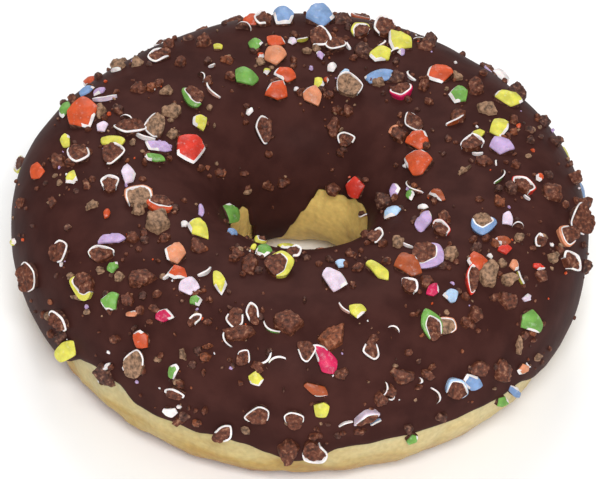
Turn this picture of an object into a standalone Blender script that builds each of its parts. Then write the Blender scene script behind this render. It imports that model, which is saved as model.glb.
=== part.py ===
"""A ring doughnut with chocolate icing, strewn with crushed candy-shelled chocolates.

The doughnut lies flat, with its hole upright. Z is up, the ground is Z = 0 and the front faces -Y.
A place on the ring is given by two angles in degrees. The bearing runs round the ring, from 0 at
the front through 90 at the right (+X). The climb runs over the section, from 0 at the widest part
of the outside over 90 at the crest to 180 at the waist of the hole. Sizes are in millimetres.
"""
import math
import random

import bmesh
import bpy
from mathutils import Vector

MM = 0.001

# The ring, measured over the icing.
OUTER_RADIUS = 47.5
HOLE_RADIUS = 11.2
HOLE_SHIFT = (-0.6, -2.0)
RISE = 15.5
DROP = 17.5
BASE = 0.93 * DROP
SQUARENESS = 2.4

# The outline is uneven: waves round the ring, as (count, height, bearing of a crest).
OUTLINE_WAVES = ((1, 0.2, 147), (2, 0.4, 2), (3, 0.3, 28), (4, 0.55, -6), (5, 0.25, -29))

# The icing, and the gap that keeps it clear of the dough. The dough swells out to the full
# section again within a few degrees of the icing's edge.
ICING_THICKNESS = 1.5
GAP = 0.3
EDGE_INSET = 0.65
THINNING = 12
SWELLING = 22

# How far the icing runs down: outside as (bearing, height over the widest part), and in the hole
# as (bearing, climb). It makes a drip down the hole's far wall and one at the front.
OUTER_EDGE = (
    (0, -8.5), (4, -8), (9, -5), (22, -4.7), (38, -4.7), (50, -5), (58, -7.5), (66, -10.5),
    (80, -9), (100, -7), (125, -6), (150, -7.5), (175, -5.5), (205, -7), (230, -6), (260, -8),
    (285, -10), (298, -10), (304, -7.5), (311, -3), (317, -1.4), (322, -2.1), (327, -4.1),
    (333, -4.4), (340, -5), (344, -4.2), (350, -4.9), (355, -6.5))
HOLE_EDGE = (
    (0, 181), (40, 178), (75, 176), (101, 169), (121, 170), (134, 174), (164, 176), (170, 181),
    (180, 188), (190, 200), (196, 218), (216, 218), (222, 206), (228, 192), (237, 180),
    (248, 176), (257, 178), (290, 182), (330, 184))

BEARINGS = 72
DOUGH_ROWS = 18
ICING_ROWS = 14

# The larger pieces of candy on the side that is seen, each as (bearing, climb, length, width,
# turn). The turn is the angle of the length from the right-hand direction, seen from outside.
# Domes are pieces of shell with the outside up.
DOMES = (
    (241, 50, 3.1, 1.6, 15), (252, 63, 7.2, 5.4, 80), (249, 47, 3.0, 2.2, 50),
    (262, 61, 2.6, 1.9, 90), (263, 86, 4.0, 2.0, 0), (269, 42, 3.0, 2.4, 60),
    (277, 66, 2.6, 2.0, 60), (279, 91, 4.2, 2.6, 95), (262, 104, 5.0, 2.2, -5),
    (269, 103, 3.8, 1.5, -5), (194, 57, 2.8, 2.6, 20), (186, 58, 4.0, 4.2, 10),
    (196, 83, 2.4, 2.4, 80), (190, 83, 3.7, 2.6, -10), (191, 91, 4.0, 3.8, 0),
    (189, 102, 3.9, 2.8, -15), (194, 111, 4.2, 3.6, 50), (205, 99, 4.0, 3.9, 10),
    (238, 113, 3.2, 2.6, 80), (178, 57, 5.2, 5.0, 0), (156, 67, 5.2, 3.8, -30),
    (158, 84, 4.0, 3.0, 30), (175, 108, 3.0, 2.0, -80), (177, 115, 3.8, 3.0, -70),
    (153, 94, 5.0, 2.6, 15), (139, 78, 5.4, 3.2, 0), (128, 82, 3.6, 3.2, -50),
    (122, 57, 5.7, 3.2, -5), (110, 77, 3.6, 3.4, 50), (108, 88, 2.5, 1.8, 20),
    (102, 80, 4.7, 3.0, -20), (303, 70, 5.2, 2.0, 0), (315, 39, 3.5, 2.9, 20),
    (329, 51, 3.4, 2.4, -15), (256, 120, 5.8, 5.2, 75), (314, 109, 4.6, 3.0, -55),
    (271, 168, 3.8, 3.0, -60), (319, 88, 4.2, 3.8, 10), (325, 79, 3.6, 2.6, -30),
    (330, 75, 3.6, 3.3, 60), (337, 84, 4.4, 2.2, -75), (344, 117, 2.9, 2.6, 0),
    (306, -9, 4.8, 3.4, 30), (326, 30, 3.2, 2.8, -60), (335, 20, 2.8, 1.8, 80),
    (335, -4, 2.6, 1.8, 0), (11, 94, 4.6, 3.8, -30), (26, 93, 4.8, 2.0, -40),
    (36, 90, 5.4, 3.8, -30), (36, 72, 2.6, 1.8, 55), (15, 73, 2.9, 2.6, -5),
    (39, 64, 2.6, 2.4, 45), (57, 106, 4.2, 2.8, 60), (352, 29, 2.9, 2.2, -55),
    (6, 43, 5.8, 3.2, -60), (4, 24, 4.4, 2.0, -25), (5, 11, 2.9, 2.9, 10),
    (71, 74, 2.8, 1.8, 90), (52, 72, 4.0, 3.4, -50), (61, 66, 2.5, 1.9, 0),
    (63, 70, 2.9, 1.6, 5), (55, 19, 4.5, 3.7, -65), (37, 6, 4.0, 2.6, -35),
    (49, -14, 3.0, 1.8, -65), (46, -17, 2.8, 1.8, -25), (51, -3, 2.3, 2.0, 15),
    (115, 112, 4.0, 3.8, 50), (100, 118, 5.0, 4.6, -60), (75, 107, 3.0, 1.9, -30),
    (85, 137, 3.0, 1.8, 70), (63, 133, 3.0, 2.0, 10), (126, 163, 3.8, 3.2, 90))

# Cups are broken open: the outside is down and the brown filling is up, inside a rim of shell.
# The turn is the direction in which the rim's middle lies.
CUPS = (
    (255, 90, 2.8, 5.4, 270), (252, 98, 4.4, 4.4, 180), (268, 71, 3.6, 4.7, 270),
    (269, 86, 4.2, 4.4, 0), (283, 84, 2.9, 3.3, 90), (221, 64, 4.5, 2.6, 200),
    (191, 60, 3.1, 3.0, 180), (229, 98, 3.8, 4.2, 225), (177, 81, 3.9, 4.2, 0),
    (167, 68, 3.4, 3.4, 120), (162, 58, 4.0, 4.4, 130), (172, 84, 2.6, 3.6, 270),
    (162, 106, 5.0, 4.7, 80), (142, 96, 2.8, 4.2, 290), (124, 107, 3.4, 4.0, 200),
    (104, 91, 3.2, 3.9, 100), (295, 37, 3.8, 4.0, 10), (307, 36, 4.4, 5.4, 225),
    (305, 59, 3.0, 4.2, 95), (291, 92, 4.4, 5.4, 90), (296, 100, 3.6, 4.3, 255),
    (289, 4, 4.6, 6.0, 15), (303, 2, 3.0, 4.4, 40), (326, 12, 6.3, 4.1, 95),
    (336, 6, 1.9, 4.2, 85), (336, 56, 3.2, 1.8, 40), (352, 104, 5.0, 5.0, 20),
    (345, 66, 4.2, 3.2, 265), (349, 69, 4.2, 2.4, 110), (357, 121, 3.0, 2.4, 10),
    (38, 122, 3.0, 3.0, 0), (43, 90, 5.2, 5.6, 330), (31, 80, 2.6, 3.4, 50),
    (16, 47, 4.0, 3.2, 270), (31, 51, 6.0, 3.4, 115), (34, 48, 3.2, 3.4, 60),
    (47, 66, 2.6, 5.8, 180), (33, 6, 4.4, 3.8, 60), (0, 4, 4.0, 3.6, 95),
    (353, 5, 3.4, 4.0, 100), (2, 50, 4.2, 3.4, 290), (349, 41, 3.0, 2.6, 55),
    (14, 3, 1.9, 5.0, 110), (346, -8, 4.4, 2.8, 50), (4, -14, 5.0, 4.8, 300),
    (86, 71, 2.6, 4.8, 75), (86, 26, 5.0, 6.2, 160), (79, 33, 3.8, 4.0, 225),
    (74, 24, 2.6, 4.2, 30), (70, 51, 2.3, 2.8, 175), (66, 84, 4.2, 4.4, 280),
    (57, 96, 2.8, 3.4, 60), (208, 135, 3.6, 5.0, 180), (150, 138, 2.8, 3.6, 90))

# Lumps are filling without shell.
LUMPS = (
    (250, 71, 2.7, 2.8, 80), (269, 58, 2.8, 2.4, 30), (237, 79, 3.2, 1.8, 0),
    (229, 46, 2.8, 2.4, 0), (209, 68, 3.2, 2.2, 0), (241, 98, 3.6, 2.6, 0),
    (172, 57, 3.8, 2.6, 0), (163, 84, 4.0, 3.0, 0), (148, 92, 3.4, 2.0, 20),
    (151, 52, 3.2, 2.6, 90), (129, 70, 3.4, 3.2, 0), (126, 42, 3.8, 3.0, 0),
    (119, 76, 3.6, 2.2, -10), (119, 90, 3.2, 2.6, 30), (116, 38, 2.6, 2.0, 0),
    (95, 89, 3.4, 1.8, -5), (88, 53, 3.8, 3.2, -10), (99, 29, 2.4, 2.2, 0),
    (93, 22, 2.6, 2.6, 0), (52, 63, 4.8, 4.4, 30), (55, 52, 3.0, 2.4, 20),
    (51, 42, 3.8, 2.6, -20), (63, 38, 2.6, 2.2, -15), (42, 46, 3.0, 2.8, 60),
    (39, 12, 3.2, 2.8, 0), (45, 3, 4.9, 3.0, 87), (8, 58, 5.2, 3.8, 50),
    (358, 69, 5.2, 4.6, 0), (347, 57, 6.0, 3.0, 0), (318, 65, 5.0, 3.2, 5),
    (304, 93, 4.6, 3.8, 60), (322, 97, 3.0, 2.2, -10), (342, 101, 4.2, 3.0, 90),
    (62, 98, 3.4, 2.2, -70), (124, 118, 3.0, 3.0, 0), (162, 133, 4.2, 2.4, 95),
    (22, 25, 4.2, 2.8, -30), (17, 13, 3.0, 2.6, 90), (359, -16, 5.0, 3.6, 90),
    (318, -5, 4.4, 2.6, -35), (82, 2, 2.4, 1.8, 90))

# More pieces lie where the front hides them, as (bearings, climbs, how many), the largest first.
HIDDEN_BELTS = (((104, 256), (-8, 2), 16), ((135, 232), (10, 22), 9),
                ((-50, 35), (150, 172), 5))
HIDDEN_SIZES = (4.8, 2.4)
HIDDEN_SPACING = 4.6

# The pieces are five-cornered, and don't lie flat on the icing: they lean, so that their faces
# turn towards the front. The lean is the most that a face slopes, and the clearance is what a low
# edge keeps.
FACING = Vector((0, -0.76, 0.65))
LEAN = 0.6
CLEARANCE = 0.15
CORNERS = 5


def power(value, exponent):
    """The exponent of a value's size, with the value's sign."""
    return math.copysign(abs(value) ** exponent, value)


def smooth(share):
    """A soft step from 0 to 1."""
    share = min(max(share, 0.0), 1.0)
    return share * share * (3 - 2 * share)


def along(stops, bearing):
    """The value at a bearing, between stops of (bearing, value) that go once round the ring."""
    bearing %= 360
    ahead = [(stops[-1][0] - 360, stops[-1][1]), *stops, (stops[0][0] + 360, stops[0][1])]
    for (start, low), (stop, high) in zip(ahead, ahead[1:]):
        if start <= bearing <= stop:
            return low + (high - low) * smooth((bearing - start) / (stop - start))


def outer_radius(bearing):
    """The ring's uneven outer radius."""
    waves = (height * math.cos(math.radians(count * (bearing - crest)))
             for count, height, crest in OUTLINE_WAVES)
    return OUTER_RADIUS + sum(waves)


def hole_radius(bearing):
    """The distance from the ring's centre to the waist of its round but off-centre hole."""
    angle = math.radians(bearing)
    reach = math.sin(angle) * HOLE_SHIFT[0] - math.cos(angle) * HOLE_SHIFT[1]
    offset = HOLE_SHIFT[0] ** 2 + HOLE_SHIFT[1] ** 2
    return reach + math.sqrt(reach ** 2 - offset + HOLE_RADIUS ** 2)


def ring_point(bearing, climb, inset=0.0):
    """A point of the ring's section, some way in from its full size."""
    outer, inner = outer_radius(bearing), hole_radius(bearing)
    half = (outer - inner) / 2 - inset
    tall = (RISE if math.sin(math.radians(climb)) > 0 else DROP) - inset
    radius = (outer + inner) / 2 + half * power(math.cos(math.radians(climb)), 2 / SQUARENESS)
    height = tall * power(math.sin(math.radians(climb)), 2 / SQUARENESS)
    angle = math.radians(bearing)
    return Vector((radius * math.sin(angle), -radius * math.cos(angle), max(height, -BASE) + BASE))


def icing_span(bearing):
    """The climbs between which the icing lies at a bearing."""
    drop = -along(OUTER_EDGE, bearing) / DROP
    start = -math.degrees(math.asin(drop ** (SQUARENESS / 2)))
    return start, along(HOLE_EDGE, bearing)


def dough_inset(bearing, climb):
    """How far the dough's skin lies within the full section: deepest under the icing."""
    start, stop = icing_span(bearing)
    within = min(climb - start, stop - climb)
    if within < 0:
        return EDGE_INSET * (1 - smooth(-within / SWELLING))
    return EDGE_INSET + (ICING_THICKNESS + GAP - EDGE_INSET) * smooth(within / THINNING)


def icing_depth(bearing, climb):
    """The icing's thickness at a place."""
    return dough_inset(bearing, climb) - GAP


def material(name, colour, roughness):
    """A plain material with its own Principled shader."""
    made = bpy.data.materials.new(name)
    made.use_nodes = True
    shader = made.node_tree.nodes["Principled BSDF"]
    shader.inputs["Base Color"].default_value = (*colour, 1)
    shader.inputs["Roughness"].default_value = roughness
    return made


def new_object(name, points, faces, collection=None):
    """A mesh object from points in millimetres."""
    mesh = bpy.data.meshes.new(name)
    mesh.from_pydata([Vector(point) * MM for point in points], [], faces)
    made = bpy.data.objects.new(name, mesh)
    (collection or bpy.context.scene.collection).objects.link(made)
    return made


def round_bands(rows):
    """The quads that join closed rows of points, each row once round the ring."""
    faces = []
    for row in range(rows):
        low, high = row * BEARINGS, (row + 1) % rows * BEARINGS
        for step in range(BEARINGS):
            ahead = (step + 1) % BEARINGS
            faces.append((low + step, low + ahead, high + ahead, high + step))
    return faces


def bearings():
    """The bearings at which the ring's sections stand."""
    return [360 * step / BEARINGS for step in range(BEARINGS)]


def make_dough():
    """The fried ring, flat underneath, with a seat for the icing."""
    flat = math.degrees(math.asin((BASE / DROP) ** (SQUARENESS / 2)))
    climbs = [-flat + (180 + 2 * flat) * row / (DOUGH_ROWS - 1) for row in range(DOUGH_ROWS)]
    points = [ring_point(bearing, climb, dough_inset(bearing, climb))
              for climb in climbs for bearing in bearings()]
    return new_object("dough", points, round_bands(DOUGH_ROWS))


def make_icing_skin():
    """The layer of icing over the top of the ring: its face, then its back."""
    points = []
    for row in range(ICING_ROWS):
        for bearing in bearings():
            start, stop = icing_span(bearing)
            points.append(ring_point(bearing, start + (stop - start) * row / (ICING_ROWS - 1)))
    for row in reversed(range(ICING_ROWS)):
        for bearing in bearings():
            start, stop = icing_span(bearing)
            climb = start + (stop - start) * row / (ICING_ROWS - 1)
            points.append(ring_point(bearing, climb, icing_depth(bearing, climb)))
    return new_object("icing", points, round_bands(2 * ICING_ROWS))


def seat(bearing, climb):
    """The place on the icing and its directions: right, up the slope and outward."""
    place = ring_point(bearing, climb)
    round_way = ring_point(bearing + 1, climb) - ring_point(bearing - 1, climb)
    over_way = ring_point(bearing, climb + 2) - ring_point(bearing, climb - 2)
    outward = round_way.cross(over_way).normalized()
    right = Vector((1, 0, 0)) - outward * outward.x
    if abs(outward.x) > 0.8:
        right = Vector((0, 0.65, 0.76)).cross(outward)
    right.normalize()
    return place, right, outward.cross(right), outward


def footing(bearing, climb, width):
    """Where a piece stands whose raised face is seen, from the front, at the place given."""
    outward = seat(bearing, climb)[3]
    rise = min(0.25 * width + 0.3, 1.3)
    towards = FACING - outward * FACING.dot(outward)
    shift = towards * rise / max(FACING.dot(outward), 0.5)
    round_way = (ring_point(bearing + 1, climb) - ring_point(bearing - 1, climb)) / 2
    over_way = (ring_point(bearing, climb + 1) - ring_point(bearing, climb - 1)) / 2
    return (bearing + shift.dot(round_way) / round_way.length_squared,
            climb + shift.dot(over_way) / over_way.length_squared)


def leaning(points, slope_x, slope_y):
    """A piece's points with its face sloped, and lifted where the low side would sink in."""
    lowest = min(z + slope_x * x + slope_y * y for x, y, z in points if z > 0)
    lift = max(CLEARANCE - lowest, 0)
    return [(x, y, z + slope_x * x + slope_y * y + lift if z > 0 else z) for x, y, z in points]


def set_down(bearing, climb, turn, points):
    """Points given along a piece's length, width and height, moved to its place on the ring."""
    place, right, up_slope, outward = seat(bearing, climb)
    angle = math.radians(turn)
    lengthways = right * math.cos(angle) + up_slope * math.sin(angle)
    sideways = outward.cross(lengthways)
    towards = FACING - outward * FACING.dot(outward)
    slope = -LEAN * towards.length * towards
    points = leaning(points, slope.dot(lengthways), slope.dot(sideways))
    return [place + lengthways * x + sideways * y + outward * z for x, y, z in points]


def level(outline, share, height):
    """The outline shrunk to a share of its size, at a height."""
    return [(x * share, y * share, height) for x, y in outline]


def broken_outline(length, width, draw, back=1.0):
    """An uneven outline round the middle of a piece, which may be cut short at its back."""
    corners = []
    for corner in range(CORNERS):
        angle = math.radians(360 / CORNERS * corner + draw.uniform(-18, 18))
        reach = draw.uniform(0.86, 1.16) * (back if corner in (2, 3) else 1)
        corners.append((length / 2 * reach * math.cos(angle), width / 2 * reach * math.sin(angle)))
    return corners


def stack(levels, top=None):
    """The points and faces of stacked outlines, closed flat below, and above flat or to a point."""
    points = [point for outline in levels for point in outline]
    count = len(levels[0])
    faces = [tuple(reversed(range(count)))]
    for row in range(len(levels) - 1):
        for corner in range(count):
            ahead = (corner + 1) % count
            low, high = row * count, (row + 1) * count
            faces.append((low + corner, low + ahead, high + ahead, high + corner))
    last = (len(levels) - 1) * count
    if top is None:
        faces.append(tuple(last + corner for corner in range(count)))
        return points, faces
    faces += [(last + corner, last + (corner + 1) % count, len(points)) for corner in range(count)]
    return points + [top], faces


def dome(length, width, root, draw):
    """A piece of candy shell with its outside up."""
    height = min(0.3 * width + 0.5, 1.9)
    outline = broken_outline(length, width, draw)
    return stack([level(outline, 1.0, -root), level(outline, 0.95, 0.65 * height)],
                 (0, 0, height))


def cup(length, width, root, draw):
    """A piece of candy broken open: a flat top and sides that lean out like a bowl's."""
    height = min(0.25 * width + 0.5, 1.7)
    outline = broken_outline(length, width, draw, 0.85)
    return stack([level(outline, 0.75, -root), level(outline, 1.0, height)])


def lump(length, width, root, draw):
    """A rough lump of filling."""
    height = min(0.5 * width + 0.3, 2.4)
    outline = broken_outline(length, width, draw)
    top = [(x * 0.7, y * 0.7, height * draw.uniform(0.7, 1.0)) for x, y in outline]
    return stack([level(outline, 1.0, -root), top], (0, 0, height))


def hidden_pieces(draw):
    """Pieces for the belts that the front hides, none closer to another than the spacing."""
    pieces = []
    for (first, last), (low, high), count in HIDDEN_BELTS:
        taken = []
        tries = 0
        while len(taken) < count and tries < 4000:
            tries += 1
            bearing, climb = draw.uniform(first, last), draw.uniform(low, high)
            place = ring_point(bearing, climb)
            if all((place - other).length > HIDDEN_SPACING for other in taken):
                largest, smallest = HIDDEN_SIZES
                length = largest + (smallest - largest) * len(taken) / count
                taken.append(place)
                pieces.append((bearing, climb, length, length * draw.uniform(0.6, 0.95),
                               draw.uniform(0, 360)))
    return pieces


def make_pieces(collection):
    """Every fused piece of candy, rooted in the icing but clear of the dough."""
    draw = random.Random(11)
    hidden = hidden_pieces(draw)
    kinds = ((dome, DOMES + tuple(hidden[0::3])), (cup, CUPS + tuple(hidden[1::3])),
             (lump, LUMPS + tuple(hidden[2::3])))
    for shape, pieces in kinds:
        for bearing, climb, length, width, turn in pieces:
            bearing, climb = footing(bearing, climb, width)
            root = 0.5 * max(icing_depth(bearing, climb), 0.5)
            points, faces = shape(length, width, root, draw)
            new_object(shape.__name__, set_down(bearing, climb, turn, points), faces, collection)


def fuse(body, collection):
    """Joins every piece in the collection to the body, and removes the pieces."""
    join = body.modifiers.new("fuse", "BOOLEAN")
    join.operation = "UNION"
    join.operand_type = "COLLECTION"
    join.collection = collection
    join.solver = "EXACT"
    bpy.context.view_layer.objects.active = body
    bpy.ops.object.modifier_apply(modifier=join.name)
    for piece in list(collection.objects):
        bpy.data.objects.remove(piece)
    bpy.data.collections.remove(collection)


def keep_largest(body):
    """Drops scraps that touch nothing, so that the body is one solid, and splits it in triangles."""
    shape = bmesh.new()
    shape.from_mesh(body.data)
    bmesh.ops.remove_doubles(shape, verts=shape.verts, dist=0.005 * MM)
    bmesh.ops.dissolve_degenerate(shape, edges=shape.edges, dist=0.005 * MM)
    unseen = set(shape.verts)
    groups = []
    while unseen:
        group = set()
        edge_of_group = [unseen.pop()]
        while edge_of_group:
            vertex = edge_of_group.pop()
            group.add(vertex)
            for edge in vertex.link_edges:
                other = edge.other_vert(vertex)
                if other in unseen:
                    unseen.remove(other)
                    edge_of_group.append(other)
        groups.append(group)
    largest = max(groups, key=len)
    scraps = [vertex for vertex in shape.verts if vertex not in largest]
    bmesh.ops.delete(shape, geom=scraps, context="VERTS")
    bmesh.ops.triangulate(shape, faces=shape.faces)
    shape.to_mesh(body.data)
    shape.free()


def centre(objects):
    """Moves the whole doughnut so that the middle of its box stands over the origin."""
    corners = [vertex.co for made in objects for vertex in made.data.vertices]
    shift = Vector((min(c.x for c in corners) + max(c.x for c in corners),
                    min(c.y for c in corners) + max(c.y for c in corners), 0)) / 2
    for made in objects:
        for vertex in made.data.vertices:
            vertex.co -= shift


def main():
    """Builds the doughnut in an empty scene."""
    for old in list(bpy.data.objects):
        bpy.data.objects.remove(old)
    dough = make_dough()
    icing = make_icing_skin()
    pieces = bpy.data.collections.new("pieces")
    bpy.context.scene.collection.children.link(pieces)
    make_pieces(pieces)
    fuse(icing, pieces)
    keep_largest(icing)
    centre((dough, icing))
    dough.data.materials.clear()
    icing.data.materials.clear()
    dough.data.materials.append(material("dough", (0.56, 0.38, 0.16), 0.7))
    icing.data.materials.append(material("icing", (0.075, 0.035, 0.03), 0.4))
    dough.data.polygons.foreach_set("use_smooth", [True] * len(dough.data.polygons))


main()
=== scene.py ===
"""The looks of an iced ring doughnut, strewn with broken candy-coated chocolates, on its CAD frame.

A place on the ring is given by two angles in degrees. The bearing runs round the ring, from 0 at
the front through 90 at the right (+X). The climb runs over the section, from 0 at the widest part
of the outside over 90 at the crest to 180 at the waist of the hole. Sizes are in millimetres.
"""

import math
import random

import bpy
import numpy as np
from mathutils import Matrix, Vector, noise


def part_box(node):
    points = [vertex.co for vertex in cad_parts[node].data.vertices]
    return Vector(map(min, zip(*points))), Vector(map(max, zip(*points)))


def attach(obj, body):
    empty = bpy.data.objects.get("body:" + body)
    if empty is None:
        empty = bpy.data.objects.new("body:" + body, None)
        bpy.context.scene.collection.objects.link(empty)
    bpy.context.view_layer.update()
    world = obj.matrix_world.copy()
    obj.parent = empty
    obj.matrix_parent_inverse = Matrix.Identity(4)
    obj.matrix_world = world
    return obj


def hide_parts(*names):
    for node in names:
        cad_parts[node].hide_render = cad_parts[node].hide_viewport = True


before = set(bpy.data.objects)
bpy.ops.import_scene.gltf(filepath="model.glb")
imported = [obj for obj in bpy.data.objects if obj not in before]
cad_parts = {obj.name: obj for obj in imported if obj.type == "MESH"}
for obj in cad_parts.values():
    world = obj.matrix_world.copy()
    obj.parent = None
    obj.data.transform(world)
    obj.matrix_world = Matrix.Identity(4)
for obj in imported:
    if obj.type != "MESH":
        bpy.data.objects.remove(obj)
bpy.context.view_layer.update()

MM = 0.001

# The photograph: its size in pixels, and where the ring's widest circle has its centre.
PHOTO_SIZE = (600, 479)
PHOTO_CENTRE = (301.5, 234.5)
PIXELS_PER_MM = 6.06
CAMERA_ELEVATION = 40.5
CAMERA_ROLL = 2.2
CAMERA_DISTANCE = 1200

# The ring, measured over the icing.
OUTER_RADIUS = 47.5
HOLE_RADIUS = 11.2
HOLE_SHIFT = (-0.6, -2.0)
RISE = 15.5
DROP = 17.5
BASE = 0.93 * DROP
SQUARENESS = 2.4
OUTLINE_WAVES = ((1, 0.2, 147), (2, 0.4, 2), (3, 0.3, 28), (4, 0.55, -6), (5, 0.25, -29))

# The icing and its seat in the dough.
ICING_THICKNESS = 1.5
GAP = 0.3
EDGE_INSET = 0.65
THINNING = 12
SWELLING = 22
BEAD = 4.0

# How far the icing runs down: outside as (bearing, height over the widest part), and in the hole
# as (bearing, climb).
OUTER_EDGE = (
    (0, -8.5), (4, -8), (9, -5), (22, -4.7), (38, -4.7), (50, -5), (58, -7.5), (66, -10.5),
    (80, -9), (100, -7), (125, -6), (150, -7.5), (175, -5.5), (205, -7), (230, -6), (260, -8),
    (285, -10), (298, -10), (304, -7.5), (311, -3), (317, -1.4), (322, -2.1), (327, -4.1),
    (333, -4.4), (340, -5), (344, -4.2), (350, -4.9), (355, -6.5))
HOLE_EDGE = (
    (0, 181), (40, 178), (75, 176), (101, 169), (121, 170), (134, 174), (164, 176), (170, 181),
    (180, 188), (190, 200), (196, 218), (216, 218), (222, 206), (228, 192), (237, 180),
    (248, 176), (257, 178), (290, 182), (330, 184))
CAD_DOUGH_POINTS = (72, 18)

# The larger pieces of candy on the side that is seen, each as (colour, bearing, climb, length,
# width, turn). The turn is the angle of the length from the right-hand direction, seen from
# outside. Domes are pieces of shell with the outside up.
DOMES = (
    ("blue", 241, 50, 3.1, 1.6, 15), ("coral", 252, 63, 7.2, 5.4, 80),
    ("green", 249, 47, 3.0, 2.2, 50), ("yellow", 262, 61, 2.6, 1.9, 90),
    ("yellow", 263, 86, 4.0, 2.0, 0), ("coral", 269, 42, 3.0, 2.4, 60),
    ("yellow", 277, 66, 2.6, 2.0, 60), ("pale_lilac", 279, 91, 4.2, 2.6, 95),
    ("lilac", 262, 104, 5.0, 2.2, -5), ("green", 269, 103, 3.8, 1.5, -5),
    ("coral", 194, 57, 2.8, 2.6, 20), ("blue", 186, 58, 4.0, 4.2, 10),
    ("green", 196, 83, 2.4, 2.4, 80), ("coral", 190, 83, 3.7, 2.6, -10),
    ("peach", 191, 91, 4.0, 3.8, 0), ("coral", 189, 102, 3.9, 2.8, -15),
    ("coral", 194, 111, 4.2, 3.6, 50), ("green", 205, 99, 4.0, 3.9, 10),
    ("yellow", 238, 113, 3.2, 2.6, 80), ("blue", 178, 57, 5.2, 5.0, 0),
    ("yellow", 156, 67, 5.2, 3.8, -30), ("yellow", 158, 84, 4.0, 3.0, 30),
    ("yellow", 175, 108, 3.0, 2.0, -80), ("peach", 177, 115, 3.8, 3.0, -70),
    ("blue", 153, 94, 5.0, 2.6, 15), ("coral", 139, 78, 5.4, 3.2, 0),
    ("green", 128, 82, 3.6, 3.2, -50), ("yellow", 122, 57, 5.7, 3.2, -5),
    ("yellow", 110, 77, 3.6, 3.4, 50), ("yellow", 108, 88, 2.5, 1.8, 20),
    ("lilac", 102, 80, 4.7, 3.0, -20), ("lilac", 303, 70, 5.2, 2.0, 0),
    ("green", 315, 39, 3.5, 2.9, 20), ("magenta", 329, 51, 3.4, 2.4, -15),
    ("red", 256, 120, 5.8, 5.2, 75), ("yellow", 314, 109, 4.6, 3.0, -55),
    ("green", 271, 168, 3.8, 3.0, -60), ("peach", 319, 88, 4.2, 3.8, 10),
    ("coral", 325, 79, 3.6, 2.6, -30), ("pale_lilac", 330, 75, 3.6, 3.3, 60),
    ("yellow", 337, 84, 4.4, 2.2, -75), ("green", 344, 117, 2.9, 2.6, 0),
    ("yellow", 306, -9, 4.8, 3.4, 30), ("coral", 326, 30, 3.2, 2.8, -60),
    ("green", 335, 20, 2.8, 1.8, 80), ("white", 335, -4, 2.6, 1.8, 0),
    ("pale_lilac", 11, 94, 4.6, 3.8, -30), ("yellow", 26, 93, 4.8, 2.0, -40),
    ("orange", 36, 90, 5.4, 3.8, -30), ("magenta", 36, 72, 2.6, 1.8, 55),
    ("yellow", 15, 73, 2.9, 2.6, -5), ("pale_blue", 39, 64, 2.6, 2.4, 45),
    ("lilac", 57, 106, 4.2, 2.8, 60), ("yellow", 352, 29, 2.9, 2.2, -55),
    ("magenta", 6, 43, 5.8, 3.2, -60), ("orange", 4, 24, 4.4, 2.0, -25),
    ("yellow", 5, 11, 2.9, 2.9, 10), ("pale_lilac", 71, 74, 2.8, 1.8, 90),
    ("coral", 52, 72, 4.0, 3.4, -50), ("red", 61, 66, 2.5, 1.9, 0),
    ("orange", 63, 70, 2.9, 1.6, 5), ("green", 55, 19, 4.5, 3.7, -65),
    ("blue", 37, 6, 4.0, 2.6, -35), ("blue", 49, -14, 3.0, 1.8, -65),
    ("green", 46, -17, 2.8, 1.8, -25), ("peach", 51, -3, 2.3, 2.0, 15),
    ("coral", 115, 112, 4.0, 3.8, 50), ("coral", 100, 118, 5.0, 4.6, -60),
    ("orange", 75, 107, 3.0, 1.9, -30), ("lilac", 85, 137, 3.0, 1.8, 70),
    ("pale_blue", 63, 133, 3.0, 2.0, 10), ("red", 126, 163, 3.8, 3.2, 90))

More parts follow.
